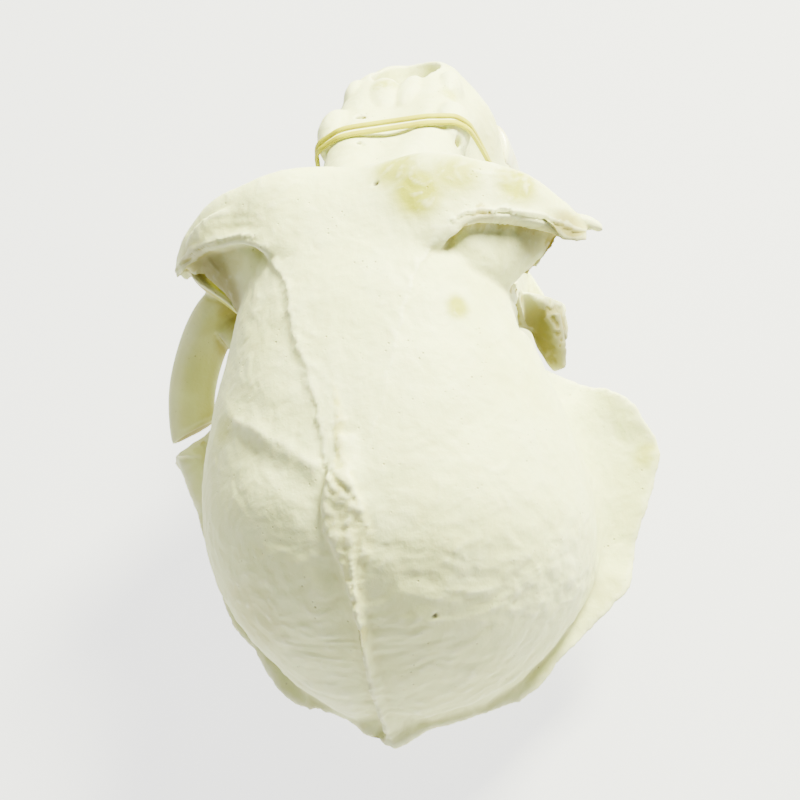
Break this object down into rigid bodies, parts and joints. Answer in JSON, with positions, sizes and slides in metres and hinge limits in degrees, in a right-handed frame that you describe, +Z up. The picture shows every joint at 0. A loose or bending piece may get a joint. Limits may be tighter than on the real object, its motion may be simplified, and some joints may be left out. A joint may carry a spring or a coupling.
{
  "type": "baboon skull",
  "caption": "Adult male baboon skull without its lower jaw, with long upper canines, a heavy brow, a crested braincase, a loose left cheekbone and a rubber band doubled round the snout.",
  "frame": {"origin": "middle of the skull's footprint, on the floor that it rests on", "axes": "+Z up from the floor, +Y towards the tip of the snout, +X towards the skull's own right side"},
  "size_m": [0.1118, 0.196, 0.0985],
  "materials": {
    "bone": "dry ivory bone, slightly rough",
    "band": "matt yellow rubber"
  },
  "bodies": {
    "root": {"braincase": "bone", "skull_base": "bone", "brow": "bone", "snout": "bone", "left_cheekbone": "bone", "rubber_band": "band"}
  },
  "joints": []
}
